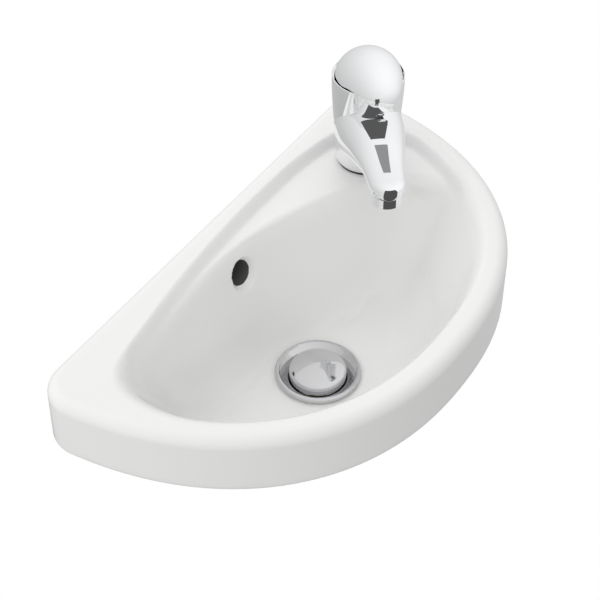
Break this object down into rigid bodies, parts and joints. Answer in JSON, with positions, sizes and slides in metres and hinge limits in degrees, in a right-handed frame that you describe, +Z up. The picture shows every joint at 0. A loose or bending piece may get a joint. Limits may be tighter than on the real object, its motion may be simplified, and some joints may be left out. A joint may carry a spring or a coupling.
{
  "type": "cloakroom basin",
  "caption": "Wall-hung D-shaped cloakroom basin with a single-lever tap on a sunken deck at one end, an overflow and a push-down domed waste plug.",
  "frame": {"origin": "midway between the two wall-fixing holes, on the wall face", "axes": "+X along the wall towards the tap, +Y into the wall, +Z up"},
  "size_m": [0.3982, 0.219, 0.2623],
  "materials": {
    "ceramic_glaze": "gloss",
    "tap_chrome": "polished",
    "waste_chrome": "polished",
    "rubber_black": "matt",
    "rubber_white": "matt",
    "cartridge_plastic": "satin",
    "disc_ceramic": "polished",
    "raw_brass": "satin",
    "steel": "satin",
    "cap_plastic": "gloss",
    "washer_plastic": "satin"
  },
  "bodies": {
    "basin": {"basin_body": "ceramic_glaze", "tap_body": "tap_chrome", "tap_gasket": "rubber_black", "cartridge_base": "cartridge_plastic", "cartridge_seals": "rubber_black", "fixed_disc": "disc_ceramic", "cartridge_housing": "cartridge_plastic", "cartridge_nut": "raw_brass", "aerator_ring": "tap_chrome", "aerator_insert": "cap_plastic", "aerator_seal": "rubber_black", "rubber_horseshoe": "rubber_black", "metal_horseshoe": "steel", "stud_nut": "raw_brass", "fixing_stud": "raw_brass", "waste_flange": "waste_chrome", "waste_seal": "rubber_white", "cone_washer": "rubber_black", "slip_washer": "washer_plastic", "backnut": "raw_brass", "click_sleeve": "raw_brass", "click_spring": "steel"},
    "rotor": {"rotor": "cartridge_plastic", "pivot_pin": "steel"},
    "lever": {"lever": "tap_chrome", "spindle": "raw_brass", "grub_screw": "steel", "index_cap": "cap_plastic"},
    "disc": {"moving_disc": "disc_ceramic", "disc_driver": "cartridge_plastic"},
    "plug": {"plug": "waste_chrome", "plug_seal": "rubber_black", "plunger": "raw_brass"}
  },
  "joints": [
    {"name": "lever_turn", "type": "hinge", "parent": "basin", "child": "rotor", "pos_m": [0.136, -0.055, 0.14], "axis": [0, 0, 1], "range_deg": [-49, 21]},
    {"name": "lever_lift", "type": "hinge", "parent": "rotor", "child": "lever", "pos_m": [0.136, -0.055, 0.14], "axis": [-0.809, 0.5878, 0], "range_deg": [0, 18]},
    {"name": "disc_slide", "type": "slide", "parent": "rotor", "child": "disc", "axis": [-0.5878, -0.809, 0], "range_m": [0, 0.00433]},
    {"name": "plug_press", "type": "slide", "parent": "basin", "child": "plug", "axis": [0, 0, 1], "range_m": [0, 0.0085], "deforming": ["click_spring"]}
  ],
  "couplings": [
    {"joint": "disc_slide", "follows": "lever_lift", "m_per_rad": 0.01377}
  ]
}
